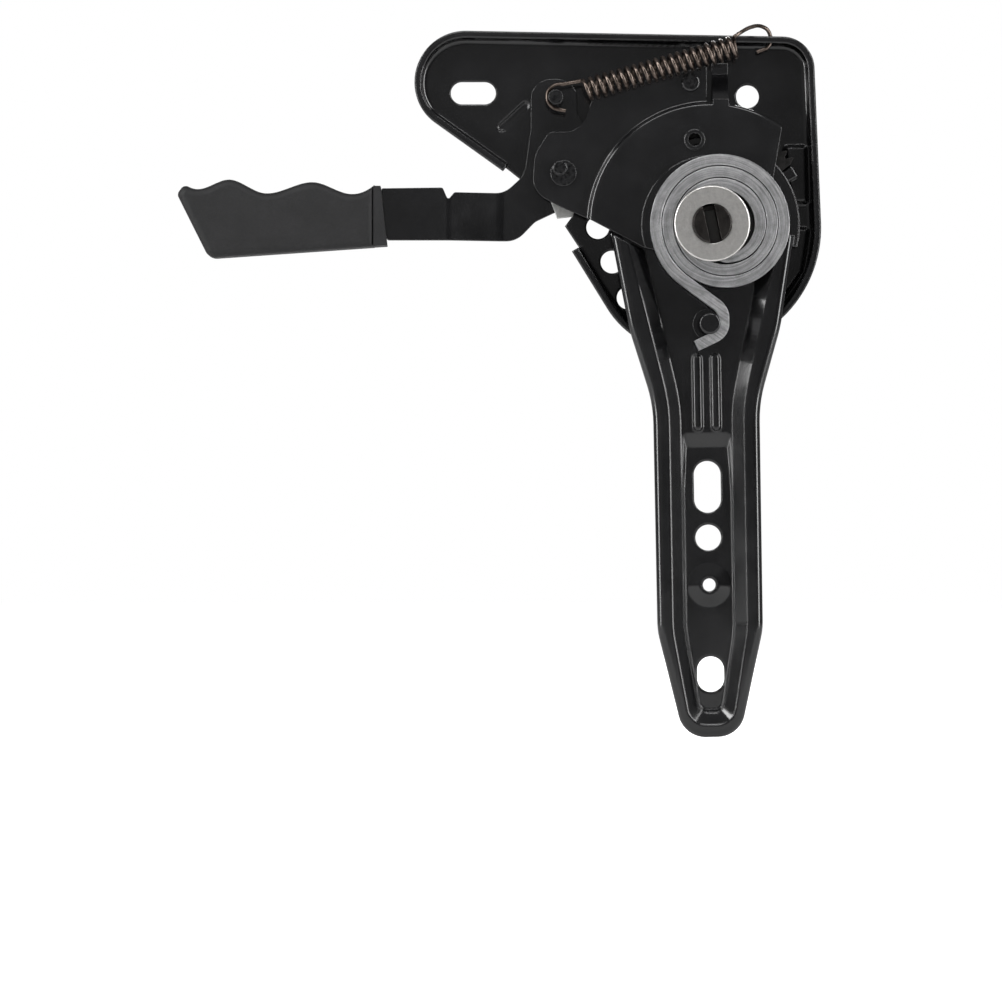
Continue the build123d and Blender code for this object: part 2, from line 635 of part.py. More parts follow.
# Main pin, thrust washers and front washer
with BuildPart() as pivot_pin:
    cylinder_from((0, 0), PIN_STAKE_R, PIVOT_BOSS_RISE - PIN_STAKE_HIGH, PIVOT_BOSS_RISE)
    cylinder_from((0, 0), PIN_TENON_R, PIVOT_BOSS_RISE, BOSS_TOP)
    cylinder_from((0, 0), PIN_SHANK_R, BOSS_TOP, COVER_HIGH_BACK)
    cylinder_from((0, 0), PIN_NECK_R, COVER_HIGH_BACK, PIN_TOP)
    chamfer(pivot_pin.faces().sort_by(Axis.Y)[0].edges(), PIN_CHAMFER)
    with BuildSketch(depth(COIL_BACK - COIL_GAP / 2)):
        Rectangle(STRIP_THICK + 2 * SLOT_FIT, 3 * PIN_NECK_R, rotation=TANG_LEAN)
    extrude(amount=PIN_TOP, mode=Mode.SUBTRACT)
pivot_pin.part.label = "pivot_pin"

with BuildPart() as inner_thrust_washer:
    with BuildSketch(depth(BOSS_TOP)):
        Circle(THRUST_R)
        Circle(PIN_SHANK_R + PIN_FIT, mode=Mode.SUBTRACT)
    extrude(amount=INNER_THRUST_THICK)
inner_thrust_washer.part.label = "inner_thrust_washer"

with BuildPart() as outer_thrust_washer:
    with BuildSketch(depth(COVER_HIGH_BACK - OUTER_THRUST_THICK)):
        Circle(THRUST_R)
        Circle(PIN_SHANK_R + PIN_FIT, mode=Mode.SUBTRACT)
    extrude(amount=OUTER_THRUST_THICK)
outer_thrust_washer.part.label = "outer_thrust_washer"

with BuildPart() as front_washer:
    with BuildSketch(depth(WASHER_BACK)):
        Circle(FRONT_WASHER_R)
        Circle(PIN_NECK_R + PIN_FIT, mode=Mode.SUBTRACT)
    extrude(amount=WASHER_THICK)
    washer_rim = front_washer.faces().sort_by(Axis.Y)[0].edges().sort_by(SortBy.LENGTH)[-1]
    fillet(washer_rim, FRONT_WASHER_EDGE_R)
front_washer.part.label = "front_washer"


# Clock spring
coil_left_centre = (COIL_CENTRE_X, 0)
coil_right_centre = (COIL_CENTRE_X + COIL_PITCH / 2, 0)
leg_r = COIL_R + COIL_PITCH / 2
leg_start = polar(leg_r, LEG_ANGLE, coil_right_centre)
leg_x = ARM_POST_AT[0] + ARM_POST_R + HOOK_SIDE_GAP + STRIP_THICK / 2
leg_slope = -cos(radians(LEG_ANGLE)) / sin(radians(LEG_ANGLE))
leg_turn = (leg_x, leg_start[1] + (leg_x - leg_start[0]) * leg_slope)
hook_r = leg_x - ARM_POST_AT[0]
hook_turn = (leg_x, ARM_POST_AT[1] - HOOK_TURN_SHARE * hook_r)
last_r = COIL_R - COIL_TURNS * COIL_PITCH
last_x = COIL_CENTRE_X + last_r
tang_bend_z = -PIN_NECK_R - TANG_BEND_CLEAR
inner_centre = (last_x + tang_bend_z, 0)
tang_turn = (-tang_bend_z * tan(radians(TANG_LEAN)), tang_bend_z)

with BuildPart() as clock_spring:
    with BuildLine(Plane.XY) as coil_path:
        FilletPolyline(HOOK_TIP, hook_turn, leg_turn, leg_start, radius=[hook_r, HOOK_BEND_R])
        CenterArc(coil_right_centre, leg_r, LEG_ANGLE, 180 - LEG_ANGLE)
        CenterArc(coil_left_centre, COIL_R, 180, -180)
        for turn in range(COIL_TURNS):
            CenterArc(coil_right_centre, COIL_R - (turn + 0.5) * COIL_PITCH, 0, -180)
            CenterArc(coil_left_centre, COIL_R - (turn + 1) * COIL_PITCH, 180, -180)
        CenterArc(inner_centre, -tang_bend_z, 0, -90)
        tang = ((inner_centre[0], tang_bend_z), tang_turn, polar(TANG_END, 90 + TANG_LEAN))
        FilletPolyline(*tang, radius=TANG_TURN_R)
    with BuildSketch(depth(COIL_BACK)):
        trace(coil_path.line, line_width=STRIP_THICK)
    extrude(amount=STRIP_WIDE)
clock_spring.part.label = "clock_spring"


# Extension spring: a close coil between two formed ends
ext_length = hypot(EXT_TO[0] - EXT_FROM[0], EXT_TO[1] - EXT_FROM[1])
ext_way = ((EXT_TO[0] - EXT_FROM[0]) / ext_length, 0, (EXT_TO[1] - EXT_FROM[1]) / ext_length)
ext_coil_r = EXT_OUTER_R - WIRE / 2
ext_start = (EXT_FROM[0], -EXT_DEPTH, EXT_FROM[1])
ext_side = (-ext_way[2] * ext_coil_r, ext_way[0] * ext_coil_r)
ext_lead = (EXT_FROM[0] + ext_side[0], EXT_FROM[1] + ext_side[1])
ext_tail = (EXT_TO[0] + ext_side[0], EXT_TO[1] + ext_side[1])
POST_HOOK = [ext_lead, (-54.5, 51.9), (-59.4, 51.0), (-61.0, 46.6), (-58.9, 43.0), (-53.6, 41.8)]
EYE_HOOK = [
    (ext_tail[0], -EXT_DEPTH, ext_tail[1]),
    (15.4, -EXT_DEPTH + 5.0, 74.0),
    (SPRING_EYE_X, -EYE_DEPTH, 74.2),
    (SPRING_EYE_X, -EYE_DEPTH, 66.4),
    (17.2, -EYE_DEPTH - 1.0, 64.2),
]

with BuildPart() as return_spring:
    with BuildLine() as ext_path:
        Helix(
            pitch=ext_length / EXT_TURNS,
            height=ext_length,
            radius=ext_coil_r,
            center=ext_start,
            direction=ext_way,
        )
    with BuildSketch(Plane(origin=ext_path.line @ 0, z_dir=ext_path.line % 0)):
        RegularPolygon(WIRE / 2, WIRE_SIDES)
    sweep(path=ext_path.line, is_frenet=True)
    with BuildLine() as post_hook:
        FilletPolyline(*[(x, -EXT_DEPTH, z) for x, z in POST_HOOK], radius=HOOK_R)
    with BuildSketch(Plane(origin=post_hook.line @ 0, z_dir=post_hook.line % 0)):
        RegularPolygon(WIRE / 2, WIRE_SIDES)
    sweep(path=post_hook.line)
    with BuildLine() as eye_hook:
        FilletPolyline(*EYE_HOOK, radius=HOOK_R)
    with BuildSketch(Plane(origin=eye_hook.line @ 0, z_dir=eye_hook.line % 0)):
        RegularPolygon(WIRE / 2, WIRE_SIDES)
    sweep(path=eye_hook.line)
    with Locations((ext_lead[0], -EXT_DEPTH, ext_lead[1]), (ext_tail[0], -EXT_DEPTH, ext_tail[1])):
        Sphere(WIRE_KNUCKLE_R)
return_spring.part.label = "return_spring"


# Release lever
LEVER_POINTS = [
    (LEVER_END_X, 8.0),
    (GRIP_END_X + GRIP_FIT, 8.0),
    (GRIP_END_X + GRIP_FIT, 13.6),
    (-99.3, 13.9),
    (-97.3, 9.3),
    (-95.0, 12.2),
    (-76.4, 12.2),
    (-69.0, 19.0),
    (-66.6, 36.0),
    (-66.6, 54.6),
    (-49.4, 54.6),
    (-49.4, 42.0),
    (-43.4, 33.0),
    (-43.6, 11.6),
    (-65.0, 1.6),
    (-72.0, -5.6),
    (GRIP_END_X + GRIP_FIT, -5.6),
    (GRIP_END_X + GRIP_FIT, -3.5),
    (LEVER_END_X, -3.5),
]
LEVER_RADII = [5.0, 0.0, 0.8, 1.0, 0.7, 1.2, 9.0, 9.0, 9.0, 7.5, 7.5, 4.0, 6.0, 8.0, 6.0, 9.0, 0.8, 0.0, 5.0]

LEVER_JOGGLE_BACK = [
    (-40.0, -LEVER_BACK),
    (JOGGLE_FROM, -LEVER_BACK),
    (JOGGLE_TO, -LEVER_BACK - GRIP_JOGGLE),
    (-190.0, -LEVER_BACK - GRIP_JOGGLE),
]
LEVER_JOGGLE_FACE = [(x, y - LEVER_THICK) for x, y in reversed(LEVER_JOGGLE_BACK)]
LEVER_JOGGLE_RADII = [0.0, JOGGLE_FROM_R, JOGGLE_TO_R, 0.0, 0.0, JOGGLE_FROM_R, JOGGLE_TO_R, 0.0]
LEVER_SPAN_Z = (-20.0, 70.0)

with BuildPart() as release_lever:
    with BuildSketch(depth(0)):
        rounded(LEVER_POINTS, LEVER_RADII)
    extrude(amount=COVER_HIGH_FACE * 2)
    with BuildSketch(Plane.XY.offset(LEVER_SPAN_Z[0])):
        rounded([*LEVER_JOGGLE_BACK, *LEVER_JOGGLE_FACE], LEVER_JOGGLE_RADII)
    extrude(amount=LEVER_SPAN_Z[1] - LEVER_SPAN_Z[0], mode=Mode.INTERSECT)
    with BuildSketch(depth(0)):
        with Locations(LEVER_PIVOT):
            Circle(LEVER_RIVET_R + TURN_FIT)
        with Locations(PAWL_RIVET_AT):
            Circle(PAWL_RIVET_R + RIVET_FIT)
        with Locations(LEVER_POST_AT):
            Circle(LEVER_POST_R + RIVET_FIT)
    extrude(amount=COVER_HIGH_FACE * 2, mode=Mode.SUBTRACT)
release_lever.part.label = "release_lever"

with BuildPart() as lever_spring_post:
    cylinder_from(LEVER_POST_AT, LEVER_POST_R, LEVER_BACK, POST_TOP)
    cylinder_from(LEVER_POST_AT, LEVER_POST_HEAD_R, LEVER_FACE, EXT_DEPTH - WIRE)
    cylinder_from(LEVER_POST_AT, LEVER_POST_HEAD_R, POST_TOP - LEVER_POST_HEAD, POST_TOP)
lever_spring_post.part.label = "lever_spring_post"

GRIP_TOP = [
    (-194.6, 15.0),
    (-189.1, 13.1),
    (-178.3, 16.6),
    (-165.9, 11.7),
    (-146.6, 15.6),
    (-134.8, 11.5),
    (-124.5, 14.6),
]
GRIP_LOW = [(-124.6, -8.2), (-185.6, -12.4), (-197.4, 11.2)]
COLLAR = [(-124.8, -8.0), (-119.8, -7.7), (-122.2, 14.2), (-124.8, 14.2)]
GRIP_CAVITY = [(-186.2, -3.6), (-119.0, -3.6), (-119.0, 8.1), (-186.2, 8.1)]
with BuildPart() as handle_grip:
    with BuildSketch(depth(GRIP_MIDDLE - GRIP_THICK / 2)) as grip_outline:
        with BuildLine():
            Spline(*GRIP_TOP)
            Polyline(GRIP_TOP[-1], *GRIP_LOW, GRIP_TOP[0])
        make_face()
        fillet(grip_outline.vertices().sort_by(Axis.X)[:2], GRIP_TIP_R)
        fillet(grip_outline.vertices().sort_by(Axis.Y)[0], GRIP_HEEL_R)
    extrude(amount=GRIP_THICK)
    fillet(handle_grip.faces().filter_by(Plane.XZ).edges(), GRIP_SIDE_R)
    with BuildSketch(depth(GRIP_MIDDLE - GRIP_THICK / 2 + COLLAR_INSET)):
        with BuildLine():
            Polyline(*COLLAR, close=True)
        make_face()
    extrude(amount=GRIP_THICK - 2 * COLLAR_INSET)
    with BuildSketch(depth(GRIP_MIDDLE - LEVER_THICK / 2 - GRIP_FIT)):
        with BuildLine():
            Polyline(*GRIP_CAVITY, close=True)
        make_face()
    extrude(amount=LEVER_THICK + 2 * GRIP_FIT, mode=Mode.SUBTRACT)
handle_grip.part.label = "handle_grip"


# Pawl and the rivets that hold it
pawl_clear_r = TOOTH_TIP_R + PAWL_CLEAR
pawl_first = SECTOR_FROM + PAWL_GAP * TOOTH_PITCH


def pawl_teeth():
    """Teeth that fit the sector's gaps, lifted just clear of its tips."""
    points = []
    for tooth in range(PAWL_TEETH):
        middle = pawl_first + tooth * TOOTH_PITCH
        for share, lift in ((-0.42, TOOTH_DEPTH), (-0.08, 0), (0.08, 0), (0.42, TOOTH_DEPTH)):
            points.append(polar(pawl_clear_r + lift, middle + share * TOOTH_PITCH))
    return points


pawl_last = pawl_first + (PAWL_TEETH - 1) * TOOTH_PITCH
pawl_back_r = pawl_clear_r + TOOTH_DEPTH + PAWL_BACK
PAWL_BODY = [
    polar(pawl_clear_r + 2.5 * TOOTH_DEPTH, pawl_last + 1.5 * TOOTH_PITCH),
    (-47.0, 15.0),
    (-50.0, 9.5),
    (-51.0, 3.4),
    (-56.8, 2.6),
    (-60.4, 12.0),
    (-61.5, 23.0),
    (-55.0, 33.0),
    polar(pawl_back_r, pawl_last),
    polar(pawl_back_r, pawl_first - TOOTH_PITCH / 2),
]
with BuildPart() as release_pawl:
    with BuildSketch(depth(SECTOR_BACK)):
        with BuildLine():
            Polyline(*pawl_teeth(), *PAWL_BODY, close=True)
        make_face()
        with Locations(LEVER_PIVOT):
            Circle(LEVER_RIVET_R + TURN_FIT, mode=Mode.SUBTRACT)
        with Locations(PAWL_RIVET_AT):
            Circle(PAWL_RIVET_R + RIVET_FIT, mode=Mode.SUBTRACT)
    extrude(amount=SECTOR_THICK)
release_pawl.part.label = "release_pawl"

with BuildPart() as pawl_rivet:
    cylinder_from(PAWL_RIVET_AT, PAWL_RIVET_R, LEVER_BACK, SECTOR_FRONT)
pawl_rivet.part.label = "pawl_rivet"

with BuildPart() as lever_pivot_rivet:
    cylinder_from(LEVER_PIVOT, LEVER_RIVET_R, 0, COVER_LOW_FACE)
    cylinder_from(LEVER_PIVOT, LEVER_RIVET_FLANGE_R, COVER_LOW_FACE, COVER_LOW_FACE + LEVER_RIVET_FLANGE)
    rivet_flange = COVER_LOW_FACE + LEVER_RIVET_FLANGE
    peen_at = (LEVER_PIVOT[0] + LEVER_RIVET_PEEN_OFF[0], LEVER_PIVOT[1] + LEVER_RIVET_PEEN_OFF[1])
    cylinder_from(peen_at, LEVER_RIVET_PEEN_R, rivet_flange, rivet_flange + LEVER_RIVET_PEEN)
    fillet(lever_pivot_rivet.faces().sort_by(Axis.Y)[0].edges(), LEVER_RIVET_EDGE_R)
lever_pivot_rivet.part.label = "lever_pivot_rivet"

with BuildPart() as cover_rivet:
    cylinder_from(COVER_RIVET_AT, COVER_RIVET_R, 0, COVER_LOW_FACE)
    cylinder_from(COVER_RIVET_AT, COVER_RIVET_HEAD_R, COVER_LOW_FACE, COVER_LOW_FACE + COVER_RIVET_HEAD)
    fillet(cover_rivet.faces().sort_by(Axis.Y)[0].edges(), COVER_RIVET_EDGE_R)
cover_rivet.part.label = "cover_rivet"

with BuildPart() as cover_spacer:
    with BuildSketch(depth(BRACKET_SHEET)):
        with Locations(COVER_RIVET_AT):
            Circle(COVER_SPACER_R)
            Circle(COVER_RIVET_R + RIVET_FIT, mode=Mode.SUBTRACT)
    extrude(amount=COVER_LOW_BACK - BRACKET_SHEET)
cover_spacer.part.label = "cover_spacer"

with BuildPart() as lever_spacer:
    with BuildSketch(depth(BRACKET_SHEET)):
        with Locations(LEVER_PIVOT):
            Circle(LEVER_SPACER_R)
            Circle(LEVER_RIVET_R + RIVET_FIT, mode=Mode.SUBTRACT)
    extrude(amount=LEVER_FLOOR_GAP - RUN_GAP)
lever_spacer.part.label = "lever_spacer"

os.makedirs("parts", exist_ok=True)
for piece in (
    base_bracket,
    guide_cover,
    cover_rivet,
    cover_spacer,
    lever_pivot_rivet,
    lever_spacer,
    pivot_pin,
    inner_thrust_washer,
    outer_thrust_washer,
    front_washer,
    clock_spring,
    return_spring,
    recline_arm,
    toothed_sector,
    sector_rivets,
    arm_spring_post,
    release_lever,
    lever_spring_post,
    handle_grip,
    release_pawl,
    pawl_rivet,
):
    export_step(piece.part, f"parts/{piece.part.label}.step")
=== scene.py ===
import bmesh
import bpy
from bpy.props import FloatProperty, StringProperty
from bpy.types import Operator, Panel, PropertyGroup
from math import cos, pi, radians, sin, tau
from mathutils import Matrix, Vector


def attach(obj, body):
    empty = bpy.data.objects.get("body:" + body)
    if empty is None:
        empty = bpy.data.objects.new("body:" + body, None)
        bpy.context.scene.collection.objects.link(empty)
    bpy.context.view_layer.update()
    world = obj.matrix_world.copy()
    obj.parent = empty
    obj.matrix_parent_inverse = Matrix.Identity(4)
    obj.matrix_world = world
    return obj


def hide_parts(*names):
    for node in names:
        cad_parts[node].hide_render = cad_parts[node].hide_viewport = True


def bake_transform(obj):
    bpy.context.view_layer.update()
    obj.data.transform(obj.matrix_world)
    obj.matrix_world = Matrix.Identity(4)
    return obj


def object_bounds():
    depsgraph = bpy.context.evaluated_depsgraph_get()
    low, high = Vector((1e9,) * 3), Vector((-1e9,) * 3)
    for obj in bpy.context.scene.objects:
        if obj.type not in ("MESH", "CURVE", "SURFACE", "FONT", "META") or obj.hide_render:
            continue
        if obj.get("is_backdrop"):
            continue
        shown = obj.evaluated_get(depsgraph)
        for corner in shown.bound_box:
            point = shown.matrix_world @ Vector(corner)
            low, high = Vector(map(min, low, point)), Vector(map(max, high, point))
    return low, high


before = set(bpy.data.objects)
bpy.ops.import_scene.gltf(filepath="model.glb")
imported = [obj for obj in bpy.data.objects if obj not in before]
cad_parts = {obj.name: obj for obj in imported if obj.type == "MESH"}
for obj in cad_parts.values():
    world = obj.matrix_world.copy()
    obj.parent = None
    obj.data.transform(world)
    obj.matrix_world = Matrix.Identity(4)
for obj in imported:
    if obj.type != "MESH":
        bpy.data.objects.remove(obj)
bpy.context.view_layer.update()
MM = 0.001

bl_info = {
    "name": "Recline adjuster dresser",
    "version": (1, 0, 0),
    "blender": (4, 5, 0),
    "location": "View3D > Sidebar > Adjuster",
    "description": "Dresses the packed chair recline adjuster with its coats, steels and springs",
    "category": "Object",
}

# How the photograph frames the part: its width in pixels, the pixel of the pin's axis, its scale, and the camera's
# distance in metres
PHOTO_PIXELS = 1002
PIVOT_PIXEL = (711.0, 225.0)
MM_PER_PIXEL = 0.37
CAMERA_AWAY = 2.2
SENSOR = 36.0

# The clock spring, in mm as the part has it: the coil's middle, its pitch and where it starts in a turn, where and
# in what direction in degrees its leg leaves, and how far the tang is painted dark as shade
COIL_MIDDLE = 4.1
COIL_PITCH = 4.4
COIL_PHASE = 0.375
LEG_FROM = 26.9
LEG_ANGLE = 233.0
# Within this radius of the pin the tang is painted dark: painted shade where it lies in the pin's slot
TANG_SHADE_REACH = 11.6

# The extension spring, in mm across, deep and up, as the part has it
WIRE = 1.5
WIRE_SIDES = 12
WOUND_RADIUS = 3.7
WOUND_TURNS = 21
WOUND_STEPS = 32
WOUND_FROM = (-46.6, -17.55, 49.7)
WOUND_TO = (9.6, -17.55, 65.9)
POST_END = [(-53.8, -17.55, 52.0), (-58.6, -17.55, 51.0), (-60.6, -17.55, 47.3),
            (-58.9, -17.55, 43.6), (-53.8, -17.55, 42.0)]
EYE_END = [(14.6, -13.0, 73.2), (19.6, -8.2, 73.7), (21.8, -6.95, 71.8),
           (21.8, -6.95, 67.0), (17.2, -7.95, 64.4)]

# Depth in mm behind which the pin is staked and plated
STAKED_BEHIND = 2.6

# The grip's parting line, in mm: its rise at the pin, its slope, half its width, how proud it stands and how far
# it reaches; then the depth of the grip's middle, and half the depth of the zone round the lever that stays
PARTING_RISE = 3.76
PARTING_SLOPE = 0.0547
PARTING_WIDE = 0.35
PARTING_PROUD = 0.22
PARTING_TO = -124.0
GRIP_DEPTH = 12.3
GRIP_HOLLOW = 4.0

# The end of the lever's strip, in mm, leans as the grip's collar does: where the solid's end is, half the width of
# the zone that moves, where it goes, the height at which that counts, and its lean
STRIP_END = -119.5
STRIP_ZONE = 0.95
COLLAR_AT = -119.7
COLLAR_LOW = -7.7
COLLAR_LEAN = 0.11

# Depths in mm at which the arm is bent, with how far each bend reaches, the least angle that counts as a bend, and
# the facets that round it
ARM_BENDS = ((16.2, 2.1), (13.6, 0.6))
BEND_ANGLE = radians(20)
BEND_FACETS = 3

# How near, in mm, two vertices are one, how near a vertex lies on a plane, how closely a cut is made, and the
# angle up to which facets are flat
SAME_PLACE = 0.0005
ON_PLANE = 0.01
CUT_CLOSE = 0.0001
FLAT_ANGLE = radians(0.3)

# Share of the crease angle that keeps an edge where none, one or both of its faces are wide
CREASE_SHARES = (1.0, 0.4, 0.25)

# Lamps: degrees round from the front, metres up and away, metres wide and tall, and watts
LAMPS = (
    ("left_box", -62, 0.2, 0.9, 0.24, 1.1, 11.5),
    ("right_box", 62, 0.2, 0.9, 0.24, 1.1, 10.0),
    ("top_box", 0, 0.85, 0.6, 0.9, 0.2, 5.0),
    ("back_box", 180, 0.45, 1.1, 0.9, 0.3, 7.0),
)

# The room's brightness at its sides, and in front from its dull lower right to its bright upper left; the way that
# it brightens, and how far from the middle that reaches
SIDE_LIGHT = 0.22
FRONT_DULL, FRONT_BRIGHT = 0.07, 0.34
FRONT_WAY = (-0.7, 0.0, 0.7)
FRONT_REACH = 0.09
WHITE = (1, 1, 1, 1)

# The table: its radius in metres, its gap below the part in mm, and the glow that makes it white to the camera
TABLE_RADIUS = 3.0
TABLE_GAP = 0.4
TABLE_GLOW = 0.8


def linear(code):
    """Linear colour of an sRGB hex code."""
    parts = [int(code[i:i + 2], 16) / 255 for i in (1, 3, 5)]
    return tuple(p / 12.92 if p <= 0.04045 else ((p + 0.055) / 1.055) ** 2.4 for p in parts) + (1.0,)


def add(tree, kind, inputs=None, **settings):
    """One shader node with its settings, and its inputs as values or as other nodes' outputs."""
    made = tree.nodes.new("ShaderNode" + kind)
    for name, value in settings.items():
        setattr(made, name, value)
    for name, value in (inputs or {}).items():
        if isinstance(value, bpy.types.NodeSocket):
            tree.links.new(value, made.inputs[name])
        else:
            made.inputs[name].default_value = value
    return made


def new_material(name):
    """New material, its node tree and its Principled shader."""
    made = bpy.data.materials.new(name)
    made.use_nodes = True
    tree = made.node_tree
    tree.nodes.clear()
    shader = add(tree, "BsdfPrincipled")
    add(tree, "OutputMaterial", {"Surface": shader.outputs[0]})
    return made, tree, shader


def blend_colours(tree, share, first, second):
    """Mix of two colours by a share between 0 and 1."""
    mix = add(tree, "Mix", {0: share}, data_type="RGBA")
    for index, colour in ((6, first), (7, second)):
        if isinstance(colour, bpy.types.NodeSocket):
            tree.links.new(colour, mix.inputs[index])
        else:
            mix.inputs[index].default_value = colour
    return mix.outputs[2]


def noise(tree, place, size, detail=3.0, roughness=0.55):
    """Noise whose blotches are about one size, in metres."""
    return add(tree, "TexNoise", {"Vector": place, "Scale": 1 / size, "Detail": detail,
                                  "Roughness": roughness})


def spread(tree, value, low, high):
    """A texture's middle values spread from low to high."""
    return add(tree, "MapRange", {0: value, 1: 0.3, 2: 0.7, 3: low, 4: high}).outputs[0]


# Black dip coat on stamped steel: glossy, level on flats and fatter on bends and cut edges. Hammered is the size
# in mm of the blows on a riveted head
def black_coat(name, radius, hammered=0.0):
    made, tree, shader = new_material(name)
    coat = bpy.context.scene.adjuster_coat
    place = add(tree, "TexCoord").outputs["Object"]
    peel = noise(tree, place, coat.peel * MM, 2.0)
    haze = noise(tree, place, coat.haze * MM, 4.0)
    edge = add(tree, "Bevel", {"Radius": radius * MM}, samples=8)
    bump = add(tree, "Bump", {"Strength": 0.05, "Distance": 0.05 * MM, "Height": peel.outputs[0],
                              "Normal": edge.outputs[0]})
    if hammered:
        blows = add(tree, "TexVoronoi", {"Vector": place, "Scale": 1 / (hammered * MM)})
        bump = add(tree, "Bump", {"Strength": 0.8, "Distance": 0.25 * MM, "Height": blows.outputs["Distance"],
                                  "Normal": bump.outputs[0]})
    shade = blend_colours(tree, spread(tree, haze.outputs[0], 0.0, 1.0),
                          linear(coat.colour), linear(coat.worn))
    tree.links.new(shade, shader.inputs["Base Color"])
    shader.inputs["IOR"].default_value = 1.52
    tree.links.new(spread(tree, haze.outputs[0], 0.09, 0.15), shader.inputs["Roughness"])
    tree.links.new(bump.outputs[0], shader.inputs["Normal"])
    return made


# Moulded grip of soft vinyl: matte dark grey with a fine grain
def grip_vinyl():
    made, tree, shader = new_material("moulded_grip_vinyl")
    grip = bpy.context.scene.adjuster_grip
    place = add(tree, "TexCoord").outputs["Object"]
    grain = noise(tree, place, grip.grain * MM, 4.0, 0.7)
    cloud = noise(tree, place, 9 * MM, 3.0)
    bump = add(tree, "Bump", {"Strength": 0.7, "Distance": 0.16 * MM, "Height": grain.outputs[0]})
    clouded = blend_colours(tree, spread(tree, cloud.outputs[0], 0.0, 1.0),
                            linear(grip.colour), linear(grip.lighter))
    grained = blend_colours(tree, spread(tree, grain.outputs[0], 0.6, 0.0), clouded, linear("#0d0d0e"))
    tree.links.new(grained, shader.inputs["Base Color"])
    shader.inputs["Roughness"].default_value = 0.64
    shader.inputs["Specular IOR Level"].default_value = 0.32
    tree.links.new(bump.outputs[0], shader.inputs["Normal"])
    return made


# Rolled spring strip: grey steel, its slit edge scored by fine lines that run along the winding. Real scoring is
# about 0.2 mm wide, and is drawn wider so that it shows
def spring_strip():
    made, tree, shader = new_material("rolled_spring_strip")
    coil = bpy.context.scene.adjuster_springs
    place = add(tree, "TexCoord").outputs["Object"]
    parts = add(tree, "SeparateXYZ", {0: place})
    across = add(tree, "Math", {0: parts.outputs[0], 1: COIL_MIDDLE * MM}, operation="SUBTRACT")
    turn = add(tree, "Math", {0: parts.outputs[2], 1: across.outputs[0]}, operation="ARCTAN2")
    flat = add(tree, "CombineXYZ", {0: across.outputs[0], 1: parts.outputs[2]})
    away = add(tree, "VectorMath", {0: flat.outputs[0]}, operation="LENGTH")
    # Place across the strip: the radius in pitches less the part of a turn that is wound
    pitches = add(tree, "Math", {0: away.outputs["Value"], 1: 1 / (COIL_PITCH * MM), 2: COIL_PHASE},
                  operation="MULTIPLY_ADD")
    wound = add(tree, "Math", {0: turn.outputs[0], 1: -1 / tau, 2: pitches.outputs[0]},
                operation="MULTIPLY_ADD")
    share = add(tree, "Math", {0: wound.outputs[0]}, operation="FRACT")
    strip = add(tree, "Math", {0: share.outputs[0], 1: COIL_PITCH * MM}, operation="MULTIPLY")
    leg_way = (cos(radians(LEG_ANGLE)), sin(radians(LEG_ANGLE)), 0.0)
    leg = add(tree, "VectorMath", {0: flat.outputs[0], 1: leg_way}, operation="DOT_PRODUCT")
    past = add(tree, "Math", {0: away.outputs["Value"], 1: LEG_FROM * MM}, operation="GREATER_THAN")
    lane = add(tree, "Mix", {0: past.outputs[0], 2: strip.outputs[0], 3: leg.outputs["Value"]},
               data_type="FLOAT")
    slow = add(tree, "VectorMath", {0: place, 1: (0.05, 0.05, 0.05)}, operation="MULTIPLY")
    lane_way = add(tree, "CombineXYZ", {0: lane.outputs[0]})
    along = add(tree, "VectorMath", {0: slow.outputs[0], 1: lane_way.outputs[0]}, operation="ADD")
    lines = noise(tree, along.outputs[0], coil.scoring * MM, 3.0, 0.7)
    grit = noise(tree, place, 0.45 * MM, 4.0, 0.7)
    blotch = noise(tree, place, 4 * MM, 5.0, 0.65)
    edge = add(tree, "Bevel", {"Radius": 0.55 * MM}, samples=6)
    marks = add(tree, "Math", {0: lines.outputs[0], 1: 0.8, 2: grit.outputs[0]}, operation="MULTIPLY_ADD")
    bump = add(tree, "Bump", {"Strength": 0.4, "Distance": 0.06 * MM, "Height": marks.outputs[0],
                              "Normal": edge.outputs[0]})
    worn = blend_colours(tree, spread(tree, blotch.outputs[0], 0.15, 0.85),
                         linear(coil.strip), linear(coil.rubbed))
    scored = blend_colours(tree, spread(tree, lines.outputs[0], 0.0, 0.75), worn, linear("#48484a"))
    flecked = blend_colours(tree, spread(tree, grit.outputs[0], 0.4, 0.0), scored, linear("#39393a"))
    # The tang near the pin is painted dark: painted shade where it sits in the pin's slot, not the strip's own
    # colour
    tang_shade_mask = add(tree, "Math", {0: away.outputs["Value"], 1: TANG_SHADE_REACH * MM}, operation="LESS_THAN")
    whole = blend_colours(tree, tang_shade_mask.outputs[0], flecked, linear("#2e2d2c"))
    tree.links.new(whole, shader.inputs["Base Color"])
    shader.inputs["Metallic"].default_value = 0.8
    tree.links.new(spread(tree, grit.outputs[0], 0.38, 0.5), shader.inputs["Roughness"])
    tree.links.new(bump.outputs[0], shader.inputs["Normal"])
    return made


